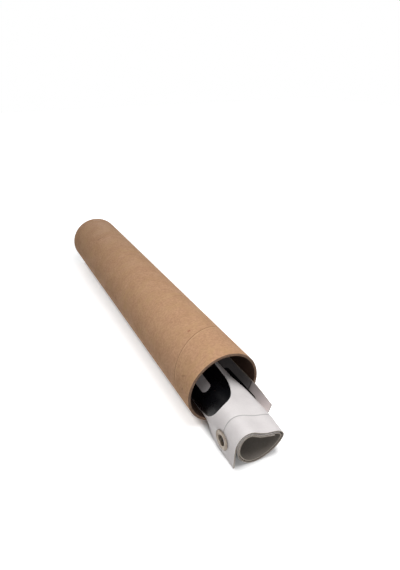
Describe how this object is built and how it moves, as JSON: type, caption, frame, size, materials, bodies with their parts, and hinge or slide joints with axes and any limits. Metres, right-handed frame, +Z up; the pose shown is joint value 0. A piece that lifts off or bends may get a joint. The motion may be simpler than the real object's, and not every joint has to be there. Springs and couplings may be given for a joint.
{
  "type": "mailing tube",
  "caption": "Spiral-wound board mailing tube lying on its side, push-in plug in one end, with a rolled vinyl banner standing out of its open mouth.",
  "frame": {"origin": "on the surface the tube lies on, under the middle of the whole object's box", "axes": "+Y runs along the tube from the open mouth to the plugged end, +X is to the right seen from the mouth, +Z is up"},
  "size_m": [0.08, 0.5169, 0.08],
  "materials": {
    "kraft_board": "matte kraft paper with fine fibre flecks",
    "plug_plastic": "moulded, slightly translucent white",
    "banner_vinyl": "satin coated cloth with a glossy black printed field",
    "eyelet_metal": "dull pressed metal"
  },
  "bodies": {
    "tube_body": {"tube": "kraft_board", "banner_roll": "banner_vinyl", "banner_wrap": "banner_vinyl", "eyelet": "eyelet_metal", "eyelet_washer": "eyelet_metal"},
    "plug_body": {"end_plug": "plug_plastic"}
  },
  "joints": [
    {"name": "plug_pull", "type": "slide", "parent": "tube_body", "child": "plug_body", "axis": [0, 1, 0], "range_m": [0, 0.03]}
  ]
}
